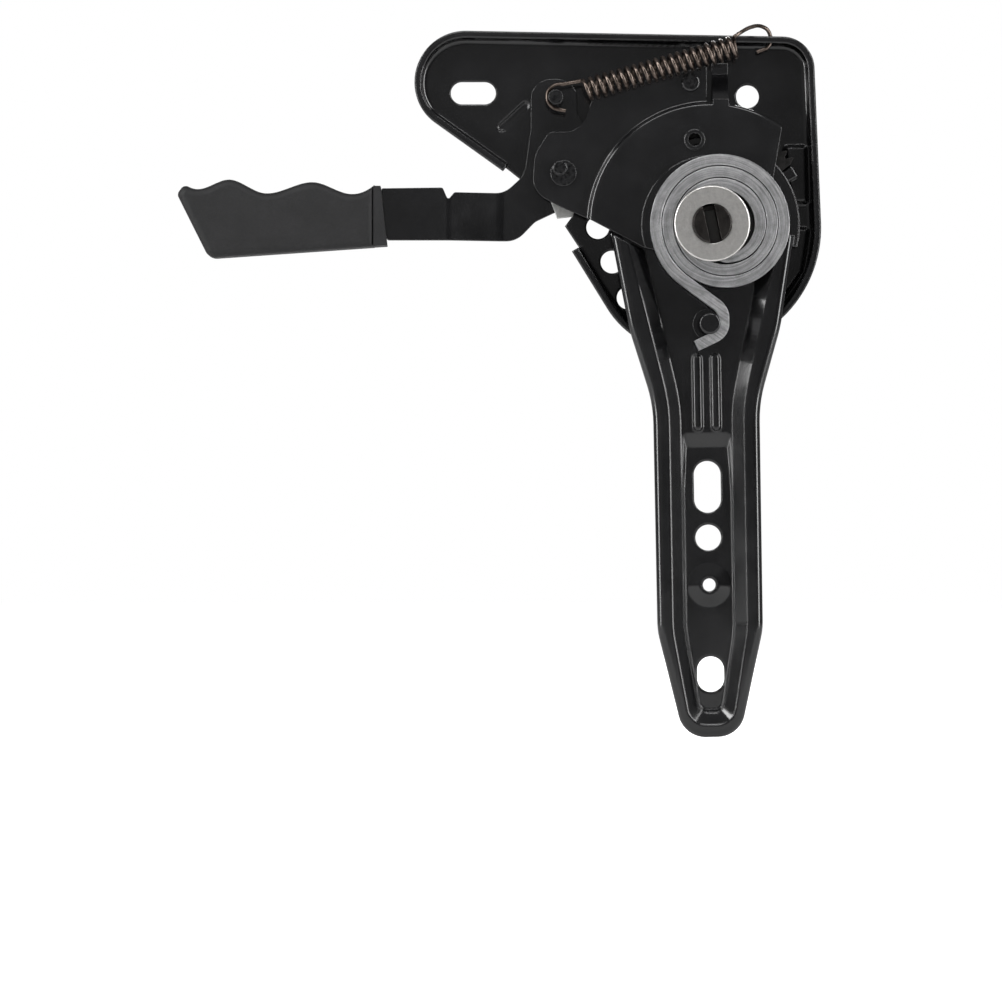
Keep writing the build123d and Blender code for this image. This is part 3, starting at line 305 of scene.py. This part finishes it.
# Turned steel: rings of the tool round the pin's axis, and a soft sheen
def turned_steel(name, bright, dull, roughness, metallic=1.0):
    made, tree, shader = new_material(name)
    place = add(tree, "TexCoord").outputs["Object"]
    parts = add(tree, "SeparateXYZ", {0: place})
    flat = add(tree, "CombineXYZ", {0: parts.outputs[0], 2: parts.outputs[2]})
    length = add(tree, "VectorMath", {0: flat.outputs[0]}, operation="LENGTH")
    ring = add(tree, "CombineXYZ", {0: length.outputs["Value"]})
    rings = noise(tree, ring.outputs[0], 0.3 * MM, 2.0)
    blotch = noise(tree, place, 3 * MM, 5.0, 0.65)
    edge = add(tree, "Bevel", {"Radius": 0.35 * MM}, samples=6)
    bump = add(tree, "Bump", {"Strength": 0.2, "Distance": 0.03 * MM, "Height": rings.outputs[0],
                              "Normal": edge.outputs[0]})
    colour = blend_colours(tree, spread(tree, blotch.outputs[0], 0.0, 1.0), linear(bright), linear(dull))
    tree.links.new(colour, shader.inputs["Base Color"])
    shader.inputs["Metallic"].default_value = metallic
    rubbed = spread(tree, blotch.outputs[0], roughness - 0.05, roughness + 0.06)
    tree.links.new(rubbed, shader.inputs["Roughness"])
    tree.links.new(bump.outputs[0], shader.inputs["Normal"])
    return made


# Zinc plate on the pin's staked end: bright, faintly blue, torn into rays by the staking punch
def staked_zinc():
    made, tree, shader = new_material("staked_zinc_plate")
    place = add(tree, "TexCoord").outputs["Object"]
    parts = add(tree, "SeparateXYZ", {0: place})
    turn = add(tree, "Math", {0: parts.outputs[2], 1: parts.outputs[0]}, operation="ARCTAN2")
    rays = add(tree, "Math", {0: turn.outputs[0], 1: 8.0}, operation="MULTIPLY")
    wave = add(tree, "Math", {0: rays.outputs[0]}, operation="SINE")
    spangle = noise(tree, place, 1.1 * MM, 4.0, 0.7)
    torn = add(tree, "Math", {0: spangle.outputs[0], 1: 1.6, 2: wave.outputs[0]}, operation="MULTIPLY_ADD")
    edge = add(tree, "Bevel", {"Radius": 0.5 * MM}, samples=6)
    bump = add(tree, "Bump", {"Strength": 0.7, "Distance": 0.22 * MM, "Height": torn.outputs[0],
                              "Normal": edge.outputs[0]})
    steels = bpy.context.scene.adjuster_steels
    colour = blend_colours(tree, spread(tree, spangle.outputs[0], 0.0, 1.0),
                           linear(steels.zinc), linear(steels.zinc_dull))
    tree.links.new(colour, shader.inputs["Base Color"])
    shader.inputs["Metallic"].default_value = 1.0
    shader.inputs["Roughness"].default_value = 0.34
    tree.links.new(bump.outputs[0], shader.inputs["Normal"])
    return made


# Drawn spring wire, oil tempered: a brown black skin that shines through bronze where it is rubbed
def spring_wire():
    made, tree, shader = new_material("oil_tempered_wire")
    coil = bpy.context.scene.adjuster_springs
    place = add(tree, "TexCoord").outputs["Object"]
    blotch = noise(tree, place, 3 * MM, 4.0)
    drawn = noise(tree, place, 0.35 * MM, 3.0, 0.6)
    bump = add(tree, "Bump", {"Strength": 0.15, "Distance": 0.03 * MM, "Height": drawn.outputs[0]})
    colour = blend_colours(tree, spread(tree, blotch.outputs[0], 0.0, 1.0),
                           linear(coil.wire), linear(coil.bronze))
    tree.links.new(colour, shader.inputs["Base Color"])
    shader.inputs["Metallic"].default_value = 0.95
    tree.links.new(spread(tree, drawn.outputs[0], 0.22, 0.32), shader.inputs["Roughness"])
    tree.links.new(bump.outputs[0], shader.inputs["Normal"])
    return made


class AdjusterCoat(PropertyGroup):
    colour: StringProperty(name="Coat colour", description="sRGB hex of the dip coat", default="#0b0b0c")
    worn: StringProperty(name="Hazed colour", description="sRGB hex of the coat's duller clouds", default="#141415")
    peel: FloatProperty(name="Orange peel", description="Size of the coat's ripples in mm", default=1.6)
    haze: FloatProperty(name="Haze", description="Size of the duller clouds in mm", default=14.0)
    edge: FloatProperty(name="Cut edge", description="Radius that the coat gives a cut edge in mm", default=0.5)
    bend: FloatProperty(name="Pressed bend", description="Radius that the press tool leaves on a bend in mm",
                        default=1.3)
    facet: FloatProperty(name="Facet width", description="Widest facet in mm that belongs to a rounded form",
                         default=2.0)
    crease: FloatProperty(name="Crease", description="Angle past which two faces meet in an edge",
                          default=radians(33), subtype="ANGLE")


class AdjusterGrip(PropertyGroup):
    colour: StringProperty(name="Vinyl colour", description="sRGB hex of the moulded vinyl", default="#121213")
    lighter: StringProperty(name="Bloom colour", description="sRGB hex of the vinyl's lighter clouds",
                            default="#1a1a1b")
    grain: FloatProperty(name="Grain", description="Size of the moulded grain in mm", default=1.0)


class AdjusterSteels(PropertyGroup):
    washer: StringProperty(name="Washer colour", description="sRGB hex of the satin washer", default="#e2e0dd")
    washer_dull: StringProperty(name="Washer's duller places", description="sRGB hex of the washer's dull places",
                                default="#bab8b5")
    pin: StringProperty(name="Pin colour", description="sRGB hex of the oiled pin", default="#3d3a38")
    pin_dull: StringProperty(name="Pin's duller places", description="sRGB hex of the pin's dull places",
                             default="#1d1b1a")
    sector: StringProperty(name="Sector colour", description="sRGB hex of the quenched sector", default="#3a3938")
    sector_dull: StringProperty(name="Sector's duller places", description="sRGB hex of the sector's dull places",
                                default="#232222")
    pawl: StringProperty(name="Pawl colour", description="sRGB hex of the bare stamped pawl", default="#c4c4c2")
    pawl_dull: StringProperty(name="Pawl's duller places", description="sRGB hex of the pawl's dull places",
                              default="#8f8f8d")
    sleeve: StringProperty(name="Sleeve colour", description="sRGB hex of the plain sleeves and washers",
                           default="#a5a5a4")
    sleeve_dull: StringProperty(name="Sleeve's duller places", description="sRGB hex of the sleeves' dull places",
                                default="#828281")
    zinc: StringProperty(name="Zinc colour", description="sRGB hex of the plated, staked pin end", default="#c9ccd0")
    zinc_dull: StringProperty(name="Zinc's duller places", description="sRGB hex of the plate's dull places",
                              default="#93979b")


class AdjusterSprings(PropertyGroup):
    strip: StringProperty(name="Strip colour", description="sRGB hex of the rolled strip", default="#9a9a9b")
    rubbed: StringProperty(name="Rubbed colour", description="sRGB hex of the strip's rubbed places",
                           default="#d6d6d7")
    scoring: FloatProperty(name="Scoring", description="Width of the lines scored along the strip in mm",
                           default=0.7)
    wire: StringProperty(name="Wire colour", description="sRGB hex of the tempered wire", default="#3a322d")
    bronze: StringProperty(name="Bronze colour", description="sRGB hex of the wire's rubbed places",
                           default="#70655e")


def place(name, mesh, body, slot, node):
    """New piece that stands for a CAD node, evenly shaded; it rides a body, unless it bends between two."""
    piece = bpy.data.objects.new(name, mesh)
    bpy.context.scene.collection.objects.link(piece)
    weigh = piece.modifiers.new("even shading", "WEIGHTED_NORMAL")
    weigh.keep_sharp = True
    weigh.weight = 100
    if body:
        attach(piece, body)
    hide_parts(node)
    return piece


def crease_edges(shape):
    """Smooth faces, with edges kept where two meet steeply, and where wide faces meet less steeply."""
    coat = bpy.context.scene.adjuster_coat
    for face in shape.faces:
        face.smooth = True
    for edge in shape.edges:
        if len(edge.link_faces) == 2:
            angle = edge.calc_face_angle(0.0)
            widths = [2 * face.calc_area() / max(side.calc_length() for side in face.edges)
                      for face in edge.link_faces]
            wide = sum(width > coat.facet * MM for width in widths)
            edge.smooth = angle < coat.crease * CREASE_SHARES[wide]


def round_bends(shape, level, radius):
    """Real roundness for the bends of a stamping that lie at one depth, in mm."""
    bends = []
    for edge in shape.edges:
        flat = all(abs(vert.co.y + level * MM) < ON_PLANE * MM for vert in edge.verts)
        if flat and len(edge.link_faces) == 2 and edge.calc_face_angle(0.0) > BEND_ANGLE:
            bends.append(edge)
    bmesh.ops.bevel(shape, geom=bends, offset=radius * MM, offset_type="OFFSET", segments=BEND_FACETS,
                    profile=0.5, affect="EDGES", clamp_overlap=True, material=-1)


def raise_parting(shape):
    """Thin ridge along the grip's front and back, where the halves of its mould meet."""
    across = Vector((-PARTING_SLOPE, 0, 1)).normalized()
    middle = Vector((0, 0, PARTING_RISE * MM))
    for step in (-PARTING_WIDE, 0.0, PARTING_WIDE):
        whole = shape.verts[:] + shape.edges[:] + shape.faces[:]
        bmesh.ops.bisect_plane(shape, geom=whole, dist=CUT_CLOSE * MM, plane_co=middle + across * step * MM,
                               plane_no=across)
    shape.normal_update()
    for vert in shape.verts:
        outside = abs(vert.co.y + GRIP_DEPTH * MM) > GRIP_HOLLOW * MM and vert.co.x < PARTING_TO * MM
        if outside and abs((vert.co - middle).dot(across)) < ON_PLANE * MM:
            vert.co.y += vert.normal.y * PARTING_PROUD * MM


def smooth_copy(node, body, slot, *materials, bends=(), parted=False):
    """Merged copy of a CAD node that stands for it, its flat faces whole, its bends and parting line formed."""
    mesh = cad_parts[node].data.copy()
    shape = bmesh.new()
    shape.from_mesh(mesh)
    bmesh.ops.remove_doubles(shape, verts=shape.verts, dist=SAME_PLACE * MM)
    bmesh.ops.dissolve_limit(shape, angle_limit=FLAT_ANGLE, verts=shape.verts, edges=shape.edges)
    for level, radius in bends:
        round_bends(shape, level, radius)
    if parted:
        raise_parting(shape)
    crease_edges(shape)
    shape.to_mesh(mesh)
    shape.free()
    mesh.materials.clear()
    for material in materials:
        mesh.materials.append(material)
    return place("dressed_" + node, mesh, body, slot, node)


def lean_strip(mesh):
    """Leans the end of the lever's strip, so that the grip's collar covers it from top to bottom."""
    for point in mesh.vertices:
        if abs(point.co.x - STRIP_END * MM) < STRIP_ZONE * MM:
            point.co.x += (COLLAR_AT - STRIP_END) * MM - COLLAR_LEAN * (point.co.z - COLLAR_LOW * MM)


class ADJUSTER_OT_stampings(Operator):
    """Coats the stamped bracket, cover, arm and lever, with their posts and rivets"""
    bl_idname = "adjuster.stampings"
    bl_label = "Stampings"

    def execute(self, context):
        group = context.scene.adjuster_coat
        coat = black_coat("blanked_black_coat", group.edge)
        drawn = black_coat("drawn_black_coat", group.bend)
        struck = black_coat("struck_black_coat", group.edge, hammered=1.7)
        for node, body, finish in (
            ("base_bracket", "bracket", drawn),
            ("guide_cover", "bracket", coat),
            ("cover_rivet", "bracket", struck),
            ("lever_pivot_rivet", "bracket", struck),
            ("arm_spring_post", "arm", coat),
            ("lever_spring_post", "lever", struck),
        ):
            smooth_copy(node, body, "black_coated_steel", finish)
        smooth_copy("recline_arm", "arm", "black_coated_steel", drawn, bends=ARM_BENDS)
        lever = smooth_copy("release_lever", "lever", "black_coated_steel", coat)
        lean_strip(lever.data)
        return {"FINISHED"}


class ADJUSTER_OT_grip(Operator):
    """Dresses the moulded grip"""
    bl_idname = "adjuster.grip"
    bl_label = "Grip"

    def execute(self, context):
        smooth_copy("handle_grip", "lever", "grip_rubber", grip_vinyl(), parted=True)
        return {"FINISHED"}


class ADJUSTER_OT_steels(Operator):
    """Finishes the pin, washers, spacers, sector, pawl and their rivets"""
    bl_idname = "adjuster.steels"
    bl_label = "Bare steels"

    def execute(self, context):
        tone = context.scene.adjuster_steels
        washer = turned_steel("satin_washer_steel", tone.washer, tone.washer_dull, 0.32)
        pin = turned_steel("oiled_pin_steel", tone.pin, tone.pin_dull, 0.22, metallic=0.8)
        dark = turned_steel("quenched_sector_steel", tone.sector, tone.sector_dull, 0.36, metallic=0.85)
        bare = turned_steel("stamped_bare_steel", tone.pawl, tone.pawl_dull, 0.38)
        sleeve = turned_steel("plain_sleeve_steel", tone.sleeve, tone.sleeve_dull, 0.4)
        smooth_copy("front_washer", "bracket", "washer_steel", washer)
        pivot = smooth_copy("pivot_pin", "bracket", "pin_steel", pin, staked_zinc())
        for face in pivot.data.polygons:
            face.material_index = int(face.center.y > -STAKED_BEHIND * MM)
        for node, body, finish in (
            ("toothed_sector", "arm", dark),
            ("sector_rivets", "arm", dark),
            ("release_pawl", "lever", bare),
            ("pawl_rivet", "lever", bare),
        ):
            smooth_copy(node, body, "bare_steel", finish)
        for node in ("cover_spacer", "lever_spacer", "inner_thrust_washer", "outer_thrust_washer"):
            smooth_copy(node, "bracket", "sleeve_steel", sleeve)
        return {"FINISHED"}


class ADJUSTER_OT_springs(Operator):
    """Dresses the clock spring and winds the extension spring from round wire"""
    bl_idname = "adjuster.springs"
    bl_label = "Springs"

    def execute(self, context):
        clock = smooth_copy("clock_spring", None, "spring_steel", spring_strip())
        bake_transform(clock)
        mesh = self.wind(context)
        mesh.materials.append(spring_wire())
        extension = place("wound_return_spring", mesh, None, "spring_wire", "return_spring")
        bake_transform(extension)
        return {"FINISHED"}

    def wind(self, context):
        """Coil spun from the wire's round section, with a formed end at the post and one at the eye."""
        first, last = Vector(WOUND_FROM) * MM, Vector(WOUND_TO) * MM
        way = (last - first).normalized()
        up = Vector((-way.z, 0, way.x))
        pitch = (last - first).length / WOUND_TURNS
        off = up * WOUND_RADIUS * MM
        lead = (way.cross(up) * WOUND_RADIUS * MM * tau + way * pitch).normalized()
        face_lead = Vector((0, 0, 1)).rotation_difference(lead).to_matrix()
        shape = bmesh.new()
        bmesh.ops.create_circle(shape, segments=WIRE_SIDES, radius=WIRE / 2 * MM)
        bmesh.ops.rotate(shape, verts=shape.verts, matrix=face_lead)
        bmesh.ops.translate(shape, verts=shape.verts, vec=first + off)
        bmesh.ops.spin(shape, geom=shape.verts[:] + shape.edges[:], cent=first, axis=way,
                       angle=tau * WOUND_TURNS, dvec=way * pitch / WOUND_STEPS, steps=WOUND_STEPS * WOUND_TURNS)
        open_ends = [edge for edge in shape.edges if edge.is_boundary]
        bmesh.ops.holes_fill(shape, edges=open_ends, sides=WIRE_SIDES)
        for start, points, turn in ((first + off, POST_END, -lead), (last + off, EYE_END, lead)):
            end = self.formed_end(context, start, points, turn)
            shape.from_mesh(end)
            bpy.data.meshes.remove(end)
        bmesh.ops.recalc_face_normals(shape, faces=shape.faces)
        crease_edges(shape)
        mesh = bpy.data.meshes.new("wound_return_spring")
        shape.to_mesh(mesh)
        shape.free()
        return mesh

    def formed_end(self, context, start, points, turn):
        """Bent wire that leaves the last coil in its own direction and goes through the points."""
        line = bpy.data.curves.new("formed_end", "CURVE")
        line.dimensions = "3D"
        line.bevel_depth = WIRE / 2 * MM
        line.bevel_resolution = 4
        line.use_fill_caps = True
        line.resolution_u = 10
        spline = line.splines.new("BEZIER")
        spline.bezier_points.add(len(points))
        for knot, point in zip(spline.bezier_points, [start] + [Vector(point) * MM for point in points]):
            knot.co = point
            knot.handle_left_type = knot.handle_right_type = "AUTO"
        knot = spline.bezier_points[0]
        knot.handle_left_type = knot.handle_right_type = "FREE"
        knot.handle_left = start - turn * WIRE * MM
        knot.handle_right = start + turn * WIRE * MM
        holder = bpy.data.objects.new("formed_end", line)
        context.scene.collection.objects.link(holder)
        context.view_layer.update()
        mesh = bpy.data.meshes.new_from_object(holder.evaluated_get(context.evaluated_depsgraph_get()))
        bpy.data.objects.remove(holder)
        bpy.data.curves.remove(line)
        return mesh


class ADJUSTER_OT_stage(Operator):
    """Sets the white table, the studio light and the camera at the photograph's place"""
    bl_idname = "adjuster.stage"
    bl_label = "Stage"

    def execute(self, context):
        scene = context.scene
        scene.view_settings.view_transform = "Standard"
        low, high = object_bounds()
        middle = (low + high) / 2
        self.camera(scene, middle)
        self.floor(scene, low, middle)
        self.world(scene)
        self.lamps(scene, middle)
        return {"FINISHED"}

    def lamps(self, scene, middle):
        """Soft boxes round the part, all aimed at its middle."""
        for name, azimuth, height, away, wide, tall, power in LAMPS:
            lamp = bpy.data.lights.new(name, "AREA")
            lamp.shape = "RECTANGLE"
            lamp.size = wide
            lamp.size_y = tall
            lamp.energy = power
            box = bpy.data.objects.new(name, lamp)
            turn = radians(azimuth)
            box.location = middle + Vector((sin(turn) * away, -cos(turn) * away, height))
            box.rotation_euler = (middle - box.location).to_track_quat("-Z", "Y").to_euler()
            scene.collection.objects.link(box)

    def camera(self, scene, middle):
        """Camera that faces the working side squarely, framed as the photograph is."""
        half = PHOTO_PIXELS / 2
        centre_x = (half - PIVOT_PIXEL[0]) * MM_PER_PIXEL * MM
        centre_z = (PIVOT_PIXEL[1] - half) * MM_PER_PIXEL * MM
        wide = PHOTO_PIXELS * MM_PER_PIXEL * MM
        lens = bpy.data.cameras.new("photo_camera")
        lens.sensor_width = SENSOR
        lens.lens = SENSOR * CAMERA_AWAY / wide
        eye = bpy.data.objects.new("photo_camera", lens)
        eye.location = (centre_x, middle.y - CAMERA_AWAY, centre_z)
        eye.rotation_euler = (pi / 2, 0, 0)
        scene.collection.objects.link(eye)
        scene.camera = eye

    def floor(self, scene, low, middle):
        """Round pale table under the part, white to the camera with a faint shadow."""
        shape = bmesh.new()
        bmesh.ops.create_circle(shape, cap_ends=True, segments=96, radius=TABLE_RADIUS)
        bmesh.ops.translate(shape, verts=shape.verts, vec=(middle.x, middle.y, low.z - TABLE_GAP * MM))
        mesh = bpy.data.meshes.new("pale_table")
        shape.to_mesh(mesh)
        shape.free()
        table = bpy.data.objects.new("pale_table", mesh)
        scene.collection.objects.link(table)
        made = bpy.data.materials.new("pale_table_paper")
        made.use_nodes = True
        tree = made.node_tree
        tree.nodes.clear()
        paper = add(tree, "BsdfDiffuse", {"Color": linear("#e8e8e8")})
        glow = add(tree, "Emission", {"Color": WHITE, "Strength": TABLE_GLOW})
        both = add(tree, "AddShader", {0: paper.outputs[0], 1: glow.outputs[0]})
        ray = add(tree, "LightPath")
        seen = add(tree, "Math", {0: ray.outputs["Is Camera Ray"], 1: ray.outputs["Is Transmission Ray"]},
                   operation="MAXIMUM")
        mix = add(tree, "MixShader", {0: seen.outputs[0], 1: paper.outputs[0], 2: both.outputs[0]})
        add(tree, "OutputMaterial", {"Surface": mix.outputs[0]})
        mesh.materials.append(made)
        table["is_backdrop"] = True

    def world(self, scene):
        """Soft studio surroundings: white to the camera, even at the sides, and shaded across in front."""
        scene.world = bpy.data.worlds.new("studio")
        scene.world.use_nodes = True
        tree = scene.world.node_tree
        tree.nodes.clear()
        way = add(tree, "TexCoord").outputs["Generated"]
        parts = add(tree, "SeparateXYZ", {0: way})
        across = add(tree, "Math", {0: parts.outputs[1]}, operation="ABSOLUTE")
        lean = add(tree, "VectorMath", {0: way, 1: FRONT_WAY}, operation="DOT_PRODUCT")
        front = add(tree, "MapRange", {0: lean.outputs["Value"], 1: -FRONT_REACH, 2: FRONT_REACH,
                                       3: FRONT_DULL, 4: FRONT_BRIGHT})
        side = add(tree, "MapRange", {0: across.outputs[0], 1: 0.5, 2: 0.95, 3: SIDE_LIGHT,
                                      4: front.outputs[0]})
        room = add(tree, "Background", {"Color": WHITE, "Strength": side.outputs[0]})
        white = add(tree, "Background", {"Color": WHITE, "Strength": 1.0})
        ray = add(tree, "LightPath")
        seen = add(tree, "Math", {0: ray.outputs["Is Camera Ray"], 1: ray.outputs["Is Transmission Ray"]},
                   operation="MAXIMUM")
        mix = add(tree, "MixShader", {0: seen.outputs[0], 1: room.outputs[0], 2: white.outputs[0]})
        add(tree, "OutputWorld", {"Surface": mix.outputs[0]})


class ADJUSTER_PT_panel(Panel):
    """The steps that dress the adjuster, in order"""
    bl_idname = "ADJUSTER_PT_panel"
    bl_label = "Recline adjuster"
    bl_space_type = "VIEW_3D"
    bl_region_type = "UI"
    bl_category = "Adjuster"

    def draw(self, context):
        for step in STEPS:
            self.layout.operator(step.bl_idname)
        scene = context.scene
        for group in (scene.adjuster_coat, scene.adjuster_grip, scene.adjuster_steels, scene.adjuster_springs):
            for name in group.__annotations__:
                self.layout.prop(group, name)


STEPS = (
    ADJUSTER_OT_stampings,
    ADJUSTER_OT_grip,
    ADJUSTER_OT_steels,
    ADJUSTER_OT_springs,
    ADJUSTER_OT_stage,
)
CLASSES = (AdjusterCoat, AdjusterGrip, AdjusterSteels, AdjusterSprings) + STEPS + (ADJUSTER_PT_panel,)


def register():
    for each in CLASSES:
        bpy.utils.register_class(each)
    bpy.types.Scene.adjuster_coat = bpy.props.PointerProperty(type=AdjusterCoat)
    bpy.types.Scene.adjuster_grip = bpy.props.PointerProperty(type=AdjusterGrip)
    bpy.types.Scene.adjuster_steels = bpy.props.PointerProperty(type=AdjusterSteels)
    bpy.types.Scene.adjuster_springs = bpy.props.PointerProperty(type=AdjusterSprings)


def unregister():
    del bpy.types.Scene.adjuster_springs
    del bpy.types.Scene.adjuster_steels
    del bpy.types.Scene.adjuster_grip
    del bpy.types.Scene.adjuster_coat
    for each in reversed(CLASSES):
        bpy.utils.unregister_class(each)


def main():
    register()
    bpy.ops.adjuster.stampings()
    bpy.ops.adjuster.grip()
    bpy.ops.adjuster.steels()
    bpy.ops.adjuster.springs()
    bpy.ops.adjuster.stage()


if __name__ == "__main__":
    main()
